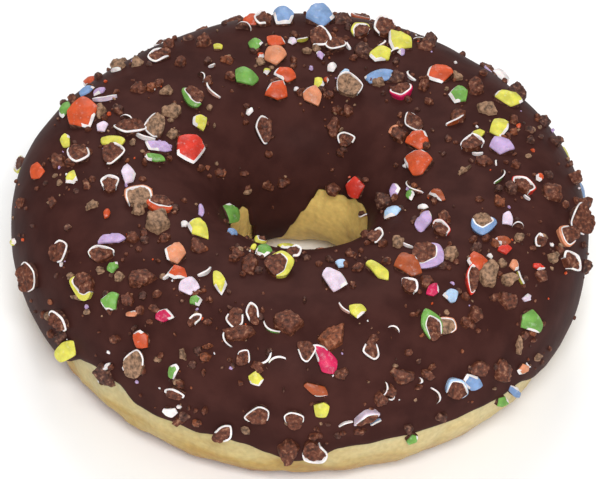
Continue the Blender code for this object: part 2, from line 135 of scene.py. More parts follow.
# Cups are broken open: the outside is down and the brown filling is up, inside a rim of shell.
# The turn is the direction in which the rim's middle lies.
CUPS = (
    ("white", 255, 90, 2.8, 5.4, 270), ("white", 252, 98, 4.4, 4.4, 180),
    ("white", 268, 71, 3.6, 4.7, 270), ("white", 269, 86, 4.2, 4.4, 0),
    ("white", 283, 84, 2.9, 3.3, 90), ("white", 221, 64, 4.5, 2.6, 200),
    ("white", 191, 60, 3.1, 3.0, 180), ("green", 229, 98, 3.8, 4.2, 225),
    ("white", 177, 81, 3.9, 4.2, 0), ("yellow", 167, 68, 3.4, 3.4, 120),
    ("white", 162, 58, 4.0, 4.4, 130), ("white", 172, 84, 2.6, 3.6, 270),
    ("white", 162, 106, 5.0, 4.7, 80), ("magenta", 142, 96, 2.8, 4.2, 290),
    ("white", 124, 107, 3.4, 4.0, 200), ("white", 104, 91, 3.2, 3.9, 100),
    ("white", 295, 37, 3.8, 4.0, 10), ("yellow", 307, 36, 4.4, 5.4, 225),
    ("white", 305, 59, 3.0, 4.2, 95), ("peach", 291, 92, 4.4, 5.4, 90),
    ("coral", 296, 100, 3.6, 4.3, 255), ("white", 289, 4, 4.6, 6.0, 15),
    ("white", 303, 2, 3.0, 4.4, 40), ("white", 326, 12, 6.3, 4.1, 95),
    ("white", 336, 6, 1.9, 4.2, 85), ("white", 336, 56, 3.2, 1.8, 40),
    ("yellow", 352, 104, 5.0, 5.0, 20), ("white", 345, 66, 4.2, 3.2, 265),
    ("white", 349, 69, 4.2, 2.4, 110), ("white", 357, 121, 3.0, 2.4, 10),
    ("white", 38, 122, 3.0, 3.0, 0), ("lilac", 43, 90, 5.2, 5.6, 330),
    ("white", 31, 80, 2.6, 3.4, 50), ("white", 16, 47, 4.0, 3.2, 270),
    ("green", 31, 51, 6.0, 3.4, 115), ("peach", 34, 48, 3.2, 3.4, 60),
    ("red", 47, 66, 2.6, 5.8, 180), ("pale_blue", 33, 6, 4.4, 3.8, 60),
    ("white", 0, 4, 4.0, 3.6, 95), ("white", 353, 5, 3.4, 4.0, 100),
    ("white", 2, 50, 4.2, 3.4, 290), ("white", 349, 41, 3.0, 2.6, 55),
    ("pale_lilac", 14, 3, 1.9, 5.0, 110), ("white", 346, -8, 4.4, 2.8, 50),
    ("white", 4, -14, 5.0, 4.8, 300), ("red", 86, 71, 2.6, 4.8, 75),
    ("white", 86, 26, 5.0, 6.2, 160), ("peach", 79, 33, 3.8, 4.0, 225),
    ("white", 74, 24, 2.6, 4.2, 30), ("white", 70, 51, 2.3, 2.8, 175),
    ("blue", 66, 84, 4.2, 4.4, 280), ("red", 57, 96, 2.8, 3.4, 60),
    ("white", 208, 135, 3.6, 5.0, 180), ("white", 150, 138, 2.8, 3.6, 90))

# The share of a cup's reach over which its coloured shell bends inward above the filling, for the
# colours with a broad band of shell, and for the others.
BROAD_BANDS = ("yellow", "green", "blue", "lilac", "coral")
BAND_SHARES = (0.4, 0.14)

# The bearings and climbs of the cups with a pale filling.
PALE_CUPS = ((252, 98), (291, 92), (326, 12), (34, 48), (66, 84), (162, 106))

# Lumps are filling without shell.
LUMPS = (
    ("tan", 250, 71, 2.7, 2.8, 80), ("brown", 269, 58, 2.8, 2.4, 30),
    ("brown", 237, 79, 3.2, 1.8, 0), ("tan", 229, 46, 2.8, 2.4, 0),
    ("brown", 209, 68, 3.2, 2.2, 0), ("tan", 241, 98, 3.6, 2.6, 0),
    ("dark", 172, 57, 3.8, 2.6, 0), ("dark", 163, 84, 4.0, 3.0, 0),
    ("dark", 148, 92, 3.4, 2.0, 20), ("dark", 151, 52, 3.2, 2.6, 90),
    ("brown", 129, 70, 3.4, 3.2, 0), ("dark", 126, 42, 3.8, 3.0, 0),
    ("tan", 119, 76, 3.6, 2.2, -10), ("brown", 119, 90, 3.2, 2.6, 30),
    ("dark", 116, 38, 2.6, 2.0, 0), ("brown", 95, 89, 3.4, 1.8, -5),
    ("brown", 88, 53, 3.8, 3.2, -10), ("brown", 99, 29, 2.4, 2.2, 0),
    ("brown", 93, 22, 2.6, 2.6, 0), ("tan", 52, 63, 4.8, 4.4, 30),
    ("tan", 55, 52, 3.0, 2.4, 20), ("brown", 51, 42, 3.8, 2.6, -20),
    ("brown", 63, 38, 2.6, 2.2, -15), ("brown", 42, 46, 3.0, 2.8, 60),
    ("brown", 39, 12, 3.2, 2.8, 0), ("brown", 45, 3, 4.9, 3.0, 87),
    ("rust", 8, 58, 5.2, 3.8, 50), ("brown", 358, 69, 5.2, 4.6, 0),
    ("brown", 347, 57, 6.0, 3.0, 0), ("brown", 318, 65, 5.0, 3.2, 5),
    ("tan", 304, 93, 4.6, 3.8, 60), ("brown", 322, 97, 3.0, 2.2, -10),
    ("brown", 342, 101, 4.2, 3.0, 90), ("brown", 62, 98, 3.4, 2.2, -70),
    ("brown", 124, 118, 3.0, 3.0, 0), ("brown", 162, 133, 4.2, 2.4, 95),
    ("brown", 22, 25, 4.2, 2.8, -30), ("brown", 17, 13, 3.0, 2.6, 90),
    ("brown", 359, -16, 5.0, 3.6, 90), ("dark", 318, -5, 4.4, 2.6, -35),
    ("dark", 82, 2, 2.4, 1.8, 90))

# Where the front hides the ring, as (bearings, climbs, how many), the largest first.
HIDDEN_BELTS = (((104, 256), (-8, 2), 16), ((135, 232), (10, 22), 9),
                ((-50, 35), (150, 172), 5))
HIDDEN_SIZES = (4.8, 2.4)
HIDDEN_SPACING = 4.6
HIDDEN_COLOURS = ("coral", "yellow", "blue", "green", "white", "lilac", "orange", "white")

# Thin curved pieces of shell on edge, as (colour, bearing, climb, length, height, turn).
SHARDS = (
    ("pale_lilac", 244, 68, 4.1, 0.8, 0), ("white", 252, 87, 2.4, 0.8, -30),
    ("white", 258, 96, 3.6, 0.9, -20), ("pink", 220, 100, 4.0, 0.8, -55),
    ("pink", 197, 66, 2.7, 1.3, -20), ("pink", 220, 91, 2.0, 0.9, -60),
    ("white", 213, 88, 1.3, 0.6, 35), ("yellow", 182, 82, 2.0, 0.9, 20),
    ("white", 168, 84, 1.6, 0.8, -70), ("pink", 160, 76, 1.9, 0.8, 70),
    ("white", 152, 57, 2.9, 0.6, 0), ("white", 154, 80, 3.0, 0.8, 40),
    ("orange", 118, 91, 4.2, 1.1, 45), ("yellow", 353, 44, 3.2, 0.8, 45),
    ("white", 356, 42, 2.8, 0.7, 15), ("green", 88, 84, 3.5, 1.0, 70),
    ("white", 82, 68, 1.3, 0.6, -35), ("pale_blue", 70, 67, 1.9, 1.0, 0),
    ("yellow", 58, 47, 2.5, 0.9, -60), ("pale_blue", 28, 7, 3.4, 0.9, -72),
    ("pale_blue", 16, 0, 1.9, 0.8, 25), ("green", 17, 20, 2.8, 0.8, 60),
    ("pink", 12, 76, 2.7, 0.7, -45), ("white", 331, 87, 2.8, 0.8, 45),
    ("white", 323, 74, 1.6, 0.7, 55), ("orange", 345, 52, 3.0, 1.0, -72),
    ("pink", 83, 121, 4.8, 1.1, -60), ("magenta", 105, 172, 2.4, 0.8, -10),
    ("white", 42, 100, 2.2, 0.7, -35), ("pale_lilac", 53, -3, 1.7, 0.6, -45),
    ("white", 9, 33, 2.7, 0.7, 15), ("white", 10, 1, 2.4, 0.6, 20),
    ("white", 22, 56, 1.9, 0.6, -20), ("green", 354, 64, 3.2, 0.9, -35),
    ("yellow", 342, 104, 1.3, 0.6, -60), ("white", 355, 120, 2.6, 0.8, -55),
    ("white", 297, 35, 2.4, 0.6, -80), ("white", 144, 88, 2.6, 0.7, -65),
    ("white", 130, 68, 2.2, 0.5, -25), ("white", 19, 14, 1.2, 0.5, 20),
    ("white", 25, 20, 1.0, 0.5, 80), ("white", 318, -8, 2.6, 0.9, 70),
    ("white", 359, -18, 3.0, 0.6, 85), ("white", 231, 50, 1.8, 0.7, -20),
    ("white", 99, 90, 1.8, 0.6, 5), ("white", 94, 84, 1.0, 0.6, 80))

# Smaller domes and lumps, which have no solid of their own.
SMALL_DOMES = (
    ("lilac", 242, 61, 2.3, 1.1, 20), ("pale_lilac", 257, 79, 2.0, 1.8, 20),
    ("yellow", 207, 78, 1.8, 1.0, 10), ("coral", 196, 90, 1.4, 1.0, 0),
    ("lilac", 153, 77, 1.4, 1.2, -40), ("green", 161, 65, 1.9, 1.2, -20),
    ("lilac", 176, 91, 1.8, 1.2, -60), ("pale_lilac", 185, 84, 1.5, 1.4, 0),
    ("white", 171, 97, 1.8, 1.5, 80), ("pale_blue", 166, 99, 2.2, 1.2, 40),
    ("coral", 172, 105, 1.0, 0.9, 0), ("green", 310, 58, 2.1, 1.7, 60),
    ("peach", 322, 42, 2.3, 1.2, 5), ("coral", 294, 76, 1.6, 1.1, 80),
    ("lilac", 303, 122, 2.2, 1.1, -70), ("green", 334, 68, 2.1, 1.9, 0),
    ("blue", 323, 128, 1.8, 1.0, -10), ("yellow", 339, 118, 1.2, 0.9, 45),
    ("pale_blue", 15, 104, 2.2, 1.5, 25), ("green", 31, 58, 2.4, 1.5, 20),
    ("peach", 59, 56, 2.0, 1.8, -20), ("red", 64, 43, 2.5, 1.2, -5),
    ("coral", 91, 62, 1.4, 1.4, 0), ("pale_lilac", 56, 35, 1.9, 1.3, 30),
    ("green", 24, -16, 2.2, 1.8, 20), ("peach", 128, 118, 2.1, 1.2, 55),
    ("green", 76, 124, 1.8, 1.6, 70), ("white", 310, 103, 1.3, 1.0, 20),
    ("white", 212, 121, 1.6, 1.2, 60), ("yellow", 278, 4, 1.3, 1.1, 60),
    ("yellow", 196, 99, 1.4, 1.1, 0), ("white", 66, 112, 1.6, 1.0, -10),
    ("white", 185, 112, 1.0, 0.8, 0), ("white", 101, 126, 0.8, 0.7, 0),
    ("white", 319, 1, 1.8, 1.0, 60), ("white", 317, -5, 1.2, 0.9, 10),
    ("white", 324, 7, 1.4, 1.0, 80), ("white", 337, 0, 1.0, 0.8, 0))
SMALL_LUMPS = (
    ("brown", 245, 46, 2.0, 1.6, 0), ("dark", 248, 80, 2.2, 1.4, 0),
    ("brown", 271, 66, 2.2, 1.6, 0), ("brown", 281, 73, 1.8, 1.6, 80),
    ("tan", 227, 58, 2.4, 1.6, 0), ("brown", 220, 78, 2.2, 1.6, 0),
    ("dark", 211, 57, 1.8, 1.2, 0), ("brown", 216, 55, 2.2, 1.9, 0),
    ("rust", 207, 88, 2.4, 1.4, -15), ("tan", 197, 93, 1.8, 1.4, -20),
    ("brown", 210, 96, 2.4, 1.9, -30), ("brown", 219, 94, 2.0, 1.6, 70),
    ("tan", 233, 89, 2.4, 1.6, 0), ("rust", 235, 84, 2.0, 1.5, 0),
    ("tan", 152, 98, 2.4, 1.6, -10), ("brown", 150, 62, 2.6, 1.8, 0),
    ("tan", 135, 73, 1.8, 1.6, 0), ("brown", 138, 89, 2.2, 2.0, 0),
    ("brown", 131, 93, 1.6, 1.3, 0), ("dark", 109, 38, 2.4, 1.8, 0),
    ("brown", 113, 66, 1.8, 1.5, 0), ("rust", 108, 70, 1.6, 1.2, 0),
    ("dark", 105, 62, 1.6, 1.4, 0), ("brown", 94, 75, 1.8, 1.2, 10),
    ("tan", 70, 38, 2.4, 2.2, 20), ("rust", 77, 81, 2.2, 1.8, -20),
    ("dark", 84, 77, 2.6, 2.2, 90), ("tan", 67, 63, 1.8, 1.7, 0),
    ("dark", 56, 78, 1.9, 1.7, 0), ("tan", 49, 85, 2.7, 2.5, 0),
    ("tan", 57, 62, 1.8, 1.6, -30), ("tan", 56, -4, 2.0, 1.2, 30),
    ("brown", 36, 78, 2.4, 2.2, 0), ("brown", 352, 37, 2.4, 2.1, -20),
    ("rust", 341, 43, 2.0, 0.9, 10), ("rust", 341, 36, 2.2, 1.8, 10),
    ("tan", 336, 33, 2.2, 1.0, -65), ("tan", 336, 14, 2.0, 0.9, 5),
    ("tan", 50, 11, 3.4, 1.2, 85), ("tan", 307, 27, 3.6, 1.1, 5),
    ("tan", 90, 96, 3.2, 1.0, 45), ("brown", 320, 20, 1.8, 1.6, 20),
    ("brown", 323, 46, 1.8, 1.5, 90), ("brown", 319, 48, 2.6, 1.8, 80),
    ("brown", 326, 52, 1.9, 1.3, -20), ("tan", 313, 56, 2.3, 1.6, 10),
    ("brown", 307, 85, 2.6, 1.2, 90), ("tan", 289, 71, 2.6, 1.4, 30),
    ("brown", 282, 50, 2.0, 1.3, 80), ("tan", 296, 90, 2.4, 2.0, -70),
    ("tan", 252, 107, 2.0, 1.8, -30), ("brown", 312, 90, 2.3, 1.4, 20),
    ("brown", 257, 144, 2.0, 1.2, 90), ("brown", 236, 157, 1.4, 1.2, 0),
    ("brown", 236, 167, 1.3, 1.0, 0), ("dark", 83, 147, 2.8, 2.4, 0),
    ("brown", 336, 101, 2.0, 1.4, 0), ("brown", 335, 107, 2.4, 1.3, 0),
    ("tan", 41, 106, 2.2, 2.1, 0), ("brown", 21, 113, 2.2, 1.1, 10),
    ("brown", 20, 98, 2.0, 1.2, 10), ("brown", 16, 89, 1.4, 1.2, 0),
    ("brown", 9, 34, 2.8, 2.4, 0), ("brown", 24, 40, 1.6, 1.2, 0),
    ("brown", 27, 22, 2.6, 2.0, -10), ("brown", 19, 17, 2.4, 2.1, 0),
    ("brown", 13, -3, 2.2, 1.1, 0), ("brown", 4, -4, 1.9, 1.5, 0),
    ("dark", 23, -7, 1.8, 1.7, 0), ("dark", 30, -6, 2.4, 1.8, 20),
    ("brown", 274, 24, 1.9, 1.6, 90), ("dark", 338, -4, 2.1, 1.7, 0),
    ("dark", 304, -4, 2.6, 2.2, 60), ("brown", 337, -8, 2.2, 1.2, 5),
    ("brown", 163, 122, 2.2, 1.6, 0), ("brown", 157, 121, 2.2, 1.9, 60),
    ("brown", 169, 114, 1.9, 1.5, 0), ("brown", 200, 171, 2.2, 2.0, 0),
    ("brown", 214, 172, 2.3, 1.9, 0), ("brown", 150, 172, 2.8, 2.4, 0),
    ("brown", 306, 79, 2.5, 2.0, 0), ("brown", 39, 45, 2.6, 1.8, 60),
    ("brown", 333, 74, 1.6, 1.1, 0), ("brown", 337, 72, 1.3, 1.2, 0),
    ("brown", 339, 58, 1.6, 1.2, 0), ("brown", 17, 54, 1.9, 1.5, 0))

# How the pieces lean: the direction their faces turn to, and the most that a face slopes. The
# clearance is the least height of a face's corner over the icing.
FACING = Vector((0, -0.76, 0.65))
LEAN = 0.6
CLEARANCE = 0.15

# The outline of a piece: its corners, how far they stray in degrees and in share of the size, how
# far a cup is cut short at its back, and the points of the smooth outline of each kind.
CORNERS = 5
CORNER_SWING = 18
CORNER_REACH = (0.86, 1.16)
CUP_BACK = 0.85
OUTLINE_POINTS = 40
CUP_POINTS = 48
SHARD_STEPS = 14
CRUMB_CORNERS = 7

# How high a piece stands, as (share of its width, height besides, greatest height), and the same
# for the middle of its face as the photograph shows it.
DOME_HEIGHT, CUP_HEIGHT, LUMP_HEIGHT = (0.3, 0.5, 1.9), (0.25, 0.5, 1.7), (0.5, 0.3, 2.4)
FACE_HEIGHT = (0.25, 0.3, 1.3)

# The rings of points over each kind's face, as shares of its outline, and up a lump's side, as
# shares of its height. To either side of its middle, a dome's edge is broken and a cup's wall
# reaches so many degrees.
DOME_RINGS = (1, 0.9, 0.76, 0.58, 0.38, 0.18)
CUP_RINGS = (1, 0.92, 0.82, 0.7, 0.57, 0.44, 0.3, 0.15)
LUMP_RINGS = (0.78, 0.68, 0.56, 0.43, 0.29, 0.14)
LUMP_SIDE = (0.3, 0.55, 0.8)
DOME_BREAKS = (0, 50, 70, 90, 110)
CUP_REACH = (95, 140)

# Crumbs lie on the icing, most of them around the pieces, and most are brown. The spread is how
# far from a piece they lie, in degrees round the ring and over it.
CRUMB_COUNT = 1000
CRUMB_SIZES = (0.4, 2.0)
CRUMBS_LOOSE = 0.07
CRUMB_SPREAD = (3.6, 8)
CRUMB_LEVELS = ((0.8, -0.3), (1.0, 0.15), (0.85, 0.5), (0.4, 0.75))
CRUMB_COLOURS = ("brown", "brown", "dark", "tan", "brown", "brown", "white", "dark", "brown",
                 "rust", "brown", "coral", "brown", "dark", "brown", "tan", "brown", "tan",
                 "dark", "brown", "rust", "brown", "lilac", "dark", "brown", "brown", "dark")

# The thickness of candy shell, from the thinnest to the thickest piece, the width of the white
# edge where a dome is broken, and the material slots of a piece of candy.
SHELL = (0.2, 0.36)
CHAMFER = 0.3
SKIN, WHITE, CORE, FILLING, PALE = range(5)
FILLINGS = ("dark", "brown", "rust", "tan")

# Seeds: of the pieces that have solids, of the smaller ones, of the crumbs and of the first relief.
CAD_SEED, SMALL_SEED, CRUMB_SEED, RELIEF_SEED = 11, 12, 21, 100

# Points round the ring and over its section.
DOUGH_POINTS = (480, 110)
ICING_POINTS = (540, 130)

# Uneven surfaces, as layers of (size of the bumps, height, seed). The waves of the icing's outer
# and inner edge have their size on a circle of radius 1 and their height in degrees of climb.
DOUGH_BUMPS = ((5, 0.6, 1), (1.6, 0.16, 2))
ICING_BUMPS = ((9, 0.22, 5), (3.2, 0.06, 6))
OUTER_WAVES, INNER_WAVES = (0.09, 1.6, 3), (0.16, 2.0, 4)
SHELL_BUMPS = ((0.9, 0.09, 31), (0.35, 0.04, 32))
INSIDE_BUMPS = ((1.1, 0.34, 8), (0.4, 0.2, 9))
LUMP_BUMPS = ((0.8, 0.22, 12), (0.36, 0.14, 13))
SHARP_ANGLE = 40

# The studio: soft lights as (name, bearing, elevation, distance, size, watts) in metres, the white
# sky, and a floor just under the doughnut.
LIGHTS = (("front", 4, 46, 1.2, 0.45, 13), ("behind", 185, 50, 1.2, 0.6, 6))
SKY_STRENGTH = 0.4
FLOOR_REACH = 3.0
FLOOR_LEVEL = -0.05
SENSOR_WIDTH = 36
VIEW_REACH = 20


def smooth(share):
    """A soft step from 0 to 1, over an array."""
    share = np.clip(share, 0.0, 1.0)
    return share * share * (3 - 2 * share)


def power(values, exponent):
    """The exponent of each value's size, with the value's sign."""
    return np.sign(values) * np.abs(values) ** exponent


def along(stops, bearing):
    """The values at bearings, between stops of (bearing, value) that go once round the ring."""
    places, values = (np.array(column, float) for column in zip(*stops))
    places = np.concatenate(([places[-1] - 360], places, [places[0] + 360]))
    values = np.concatenate(([values[-1]], values, [values[0]]))
    bearing = np.mod(bearing, 360)
    after = np.clip(np.searchsorted(places, bearing, side="right"), 1, len(places) - 1)
    share = (bearing - places[after - 1]) / (places[after] - places[after - 1])
    return values[after - 1] + (values[after] - values[after - 1]) * smooth(share)


def outer_radius(bearing):
    """The ring's uneven outer radius."""
    return OUTER_RADIUS + sum(height * np.cos(np.radians(count * (bearing - crest)))
                              for count, height, crest in OUTLINE_WAVES)


def hole_radius(bearing):
    """The distance from the ring's centre to the waist of its round but off-centre hole."""
    angle = np.radians(bearing)
    reach = np.sin(angle) * HOLE_SHIFT[0] - np.cos(angle) * HOLE_SHIFT[1]
    offset = HOLE_SHIFT[0] ** 2 + HOLE_SHIFT[1] ** 2
    return reach + np.sqrt(reach ** 2 - offset + HOLE_RADIUS ** 2)


def ring_points(bearing, climb, inset=0.0):
    """Points of the ring's section, some way in from its full size, as rows of x, y, z."""
    bearing, climb, inset = np.broadcast_arrays(*(np.asarray(value, float)
                                                  for value in (bearing, climb, inset)))
    outer, inner = outer_radius(bearing), hole_radius(bearing)
    half = (outer - inner) / 2 - inset
    rise = np.sin(np.radians(climb))
    tall = np.where(rise > 0, RISE, DROP) - inset
    radius = (outer + inner) / 2 + half * power(np.cos(np.radians(climb)), 2 / SQUARENESS)
    height = np.maximum(tall * power(rise, 2 / SQUARENESS), -BASE) + BASE
    angle = np.radians(bearing)
    return np.stack([radius * np.sin(angle), -radius * np.cos(angle), height], -1)


def icing_span(bearing):
    """The climbs between which the icing lies at each bearing."""
    drop = -along(OUTER_EDGE, bearing) / DROP
    return -np.degrees(np.arcsin(drop ** (SQUARENESS / 2))), along(HOLE_EDGE, bearing)


def dough_inset(bearing, climb):
    """How far the dough's skin lies within the full section: deepest under the icing."""
    start, stop = icing_span(bearing)
    within = np.minimum(climb - start, stop - climb)
    bare = EDGE_INSET * (1 - smooth(-within / SWELLING))
    under = EDGE_INSET + (ICING_THICKNESS + GAP - EDGE_INSET) * smooth(within / THINNING)
    return np.where(within < 0, bare, under)


def dough_grid(columns, rows):
    """Bearings and climbs of points over the dough, from its flat underside's outer edge over to
    the inner one."""
    flat = math.degrees(math.asin((BASE / DROP) ** (SQUARENESS / 2)))
    return np.meshgrid(np.arange(columns) * 360 / columns, np.linspace(-flat, 180 + flat, rows))


def frame_shift():
    """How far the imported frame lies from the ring's own centre, from the box of its dough."""
    bearing, climb = dough_grid(*CAD_DOUGH_POINTS)
    points = ring_points(bearing, climb, dough_inset(bearing, climb)).reshape(-1, 3)
    low, high = (np.array(corner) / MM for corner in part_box("dough"))
    return (low + high) / 2 - (points.min(0) + points.max(0)) / 2


SHIFT = frame_shift()


def ripple(points, *layers):
    """Smooth random heights over points, from layers of (size of the bumps, height, seed)."""
    total = 0
    for size, height, seed in layers:
        offset = Vector((seed * 17.3, seed * 5.1, seed * 9.7))
        total += height * np.array([noise.noise(Vector(point) / size + offset)
                                    for point in points])
    return total


def new_mesh(name, points, faces, materials, slots=None):
    """A smooth mesh from points in millimetres on the ring, riding on the frame.

    With material slots for its faces it is made of broken pieces, and its edges stay sharp.
    """
    mesh = bpy.data.meshes.new(name)
    mesh.from_pydata(((np.asarray(points) + SHIFT) * MM).tolist(), [], faces)
    for finish in materials:
        mesh.materials.append(finish)
    mesh.polygons.foreach_set("use_smooth", [True] * len(mesh.polygons))
    if slots is not None:
        mesh.polygons.foreach_set("material_index", slots)
        mesh.set_sharp_from_angle(angle=math.radians(SHARP_ANGLE))
    made = bpy.data.objects.new(name, mesh)
    bpy.context.scene.collection.objects.link(made)
    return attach(made, "root")


def grid_faces(rows, columns, closed_rows=False):
    """Quads between rows of points, each row closed round the ring."""
    row, column = np.meshgrid(np.arange(rows if closed_rows else rows - 1), np.arange(columns),
                              indexing="ij")
    ahead, above = (column + 1) % columns, (row + 1) % rows
    quads = np.stack([row * columns + column, row * columns + ahead,
                      above * columns + ahead, above * columns + column], -1)
    return quads.reshape(-1, 4).tolist()


def linear(red, green, blue):
    """A colour for a shader from its red, green and blue as seen on a screen, 0 to 255."""
    parts = (value / 255 for value in (red, green, blue))
    return tuple(part / 12.92 if part <= 0.04045 else ((part + 0.055) / 1.055) ** 2.4
                 for part in parts)


CANDY_COLOURS = {
    "coral": linear(190, 74, 32), "red": linear(196, 50, 34), "orange": linear(154, 72, 34),
    "peach": linear(202, 130, 94), "yellow": linear(204, 198, 78), "green": linear(104, 152, 68),
    "blue": linear(116, 144, 184), "pale_blue": linear(168, 194, 222),
    "lilac": linear(178, 152, 192), "pale_lilac": linear(214, 196, 212),
    "magenta": linear(190, 26, 78), "pink": linear(220, 172, 156), "white": linear(226, 218, 216)}
FILLING_COLOURS = {
    "dark": linear(78, 45, 35), "brown": linear(94, 49, 32), "rust": linear(120, 64, 38),
    "tan": linear(138, 106, 82)}
DUST_COLOUR = (0.85, 0.83, 0.82)
GRAIN_COLOUR = linear(172, 132, 104)
ICING_COLOURS = ((0.38, linear(56, 31, 28)), (0.62, linear(66, 38, 34)))
DOUGH_COLOURS = ((0.25, linear(140, 84, 34)), (0.4, linear(166, 122, 56)),
                 (0.54, linear(182, 152, 84)), (0.68, linear(194, 174, 118)),
                 (0.9, linear(192, 180, 136)))
# The dough's golden tone in the hole, made lighter with painted light against the shade inside the
# hole.
HOLE_GOLD_AND_PAINTED_LIGHT = linear(232, 198, 116)
# Painted light: a paler dough colour, blended in towards the right side.
DOUGH_PAINTED_LIGHT_RIGHT = linear(230, 214, 166)
DOUGH_GRAIN = ((0.3, (0.8, 0.78, 0.74)), (0.7, (1, 1, 1)))


def shade(colour, share):
    """A colour made lighter or darker."""
    return tuple(min(part * share, 1.0) for part in colour)


def new_material(name):
    """A node material, its tree and its shader."""
    made = bpy.data.materials.new(name)
    made.use_nodes = True
    return made, made.node_tree, made.node_tree.nodes["Principled BSDF"]


def fill_inputs(tree, node, inputs):
    """Sets a node's inputs to values and colours, or links them to other nodes' outputs."""
    for name, value in inputs.items():
        if isinstance(value, bpy.types.NodeSocket):
            tree.links.new(value, node.inputs[name])
        elif node.inputs[name].type == "RGBA":
            node.inputs[name].default_value = (*value, 1)
        else:
            node.inputs[name].default_value = value


def add_node(tree, kind, inputs, **settings):
    """The outputs of a new node with its inputs and settings."""
    made = tree.nodes.new(f"ShaderNode{kind}")
    for name, value in settings.items():
        setattr(made, name, value)
    fill_inputs(tree, made, inputs)
    return made.outputs


def noise_in(tree, size, detail=4.0, flatness=1.0):
    """Noise with features of a size in millimetres, less tall than wide if flattened."""
    place = add_node(tree, "TexCoord", {})["Object"]
    squeezed = add_node(tree, "VectorMath", {0: place, 1: (1, 1, flatness)}, operation="MULTIPLY")
    return add_node(tree, "TexNoise", {"Vector": squeezed[0], "Scale": 1 / (size * MM),
                                       "Detail": detail})[0]


def ramp_in(tree, source, stops):
    """The colour that a source picks from stops of (position, colour)."""
    ramp = tree.nodes.new("ShaderNodeValToRGB")
    elements = ramp.color_ramp.elements
    while len(elements) < len(stops):
        elements.new(0.5)
    for element, (position, colour) in zip(elements, stops):
        element.position = position
        element.color = (*colour, 1)
    tree.links.new(source, ramp.inputs[0])
    return ramp.outputs[0]


def range_in(tree, source, low, high, most=1.0):
    """A value that goes from 0 to its most as a source goes from low to high."""
    return add_node(tree, "MapRange", {"Value": source, "From Min": low, "From Max": high,
                                       "To Max": most})[0]


def mix_in(tree, share, first, second, blend="MIX"):
    """Two colours blended, with a share for the second."""
    return add_node(tree, "MixRGB", {0: share, 1: first, 2: second}, blend_type=blend)[0]


def relief_in(tree, size, height):
    """Fine relief with features of a size and a height in millimetres."""
    return add_node(tree, "Bump", {"Strength": 1, "Distance": height * MM,
                                   "Height": noise_in(tree, size, 6)})[0]


def candy_material(colour):
    """Candy shell: faintly mottled and dusty in places, with a soft shine."""
    made, tree, shader = new_material(f"shell_{colour}")
    tone = CANDY_COLOURS[colour]
    mottled = ramp_in(tree, noise_in(tree, 1.6), ((0.38, shade(tone, 0.8)),
                                                  (0.62, shade(tone, 1.12))))
    dust = range_in(tree, noise_in(tree, 0.7, 8), 0.58, 0.75, 0.2)
    fill_inputs(tree, shader, {
        "Base Color": mix_in(tree, dust, mottled, DUST_COLOUR), "Roughness": 0.5,
        "Specular IOR Level": 0.3, "Coat Weight": 0.08, "Coat Roughness": 0.25,
        "Subsurface Weight": 0.12, "Subsurface Scale": 0.8 * MM,
        "Normal": relief_in(tree, 0.25, 0.03)})
    return made


def filling_material(colour):
    """Chocolate filling: crumbly and matt, with dark cracks and paler grains."""
    made, tree, shader = new_material(f"filling_{colour}")
    tone = FILLING_COLOURS[colour]
    grain = tuple(0.5 * part + 0.5 * pale for part, pale in zip(shade(tone, 1.5), GRAIN_COLOUR))
    stops = ((0.34, shade(tone, 0.35)), (0.46, shade(tone, 0.8)), (0.57, shade(tone, 1.2)),
             (0.69, grain))
    fill_inputs(tree, shader, {
        "Base Color": ramp_in(tree, noise_in(tree, 0.6, 8), stops), "Roughness": 0.6,
        "Specular IOR Level": 0.3, "Normal": relief_in(tree, 0.3, 0.14)})
    return made


def icing_material():
    """Dark chocolate icing: satin, slightly uneven."""
    made, tree, shader = new_material("icing_chocolate")
    fill_inputs(tree, shader, {
        "Base Color": ramp_in(tree, noise_in(tree, 5), ICING_COLOURS), "Roughness": 0.5,
        "Specular IOR Level": 0.02, "Normal": relief_in(tree, 1.4, 0.03)})
    return made


def dough_material():
    """Fried dough: pale round the side, browner below and golden yellow in the hole, with fine
    grain. Painted light makes the hole's yellow lighter and the right side paler.
    """
    made, tree, shader = new_material("dough_crust")
    place = add_node(tree, "TexCoord", {})["Object"]
    split = add_node(tree, "SeparateXYZ", {0: place})
    level = add_node(tree, "VectorMath", {0: place, 1: (1, 1, 0)}, operation="MULTIPLY")[0]
    radius = add_node(tree, "VectorMath", {0: level}, operation="LENGTH")["Value"]
    height = range_in(tree, split["Z"], 0, 22 * MM)
    streaks = add_node(tree, "Math", {0: noise_in(tree, 7, 5, 3), 1: 0.5, 2: height},
                       operation="MULTIPLY_ADD")[0]
    # Painted light: the dough is made paler towards the right (+X).
    painted_light_right = range_in(tree, split["X"], 0, 34 * MM, 0.45)
    # Painted light in part: towards the hole the dough turns golden and lighter.
    hole_gold_and_painted_light_share = range_in(tree, radius, 26 * MM, 15 * MM)
    fried = mix_in(tree, painted_light_right, ramp_in(tree, streaks, DOUGH_COLOURS), DOUGH_PAINTED_LIGHT_RIGHT)
    fried = mix_in(tree, hole_gold_and_painted_light_share, fried, HOLE_GOLD_AND_PAINTED_LIGHT)
    grain = ramp_in(tree, noise_in(tree, 0.9, 6), DOUGH_GRAIN)
    fill_inputs(tree, shader, {
        "Base Color": mix_in(tree, 1, fried, grain, "MULTIPLY"), "Roughness": 0.62,
        "Subsurface Weight": 0.15, "Subsurface Scale": 1.5 * MM,
        "Normal": relief_in(tree, 0.6, 0.06)})
    return made


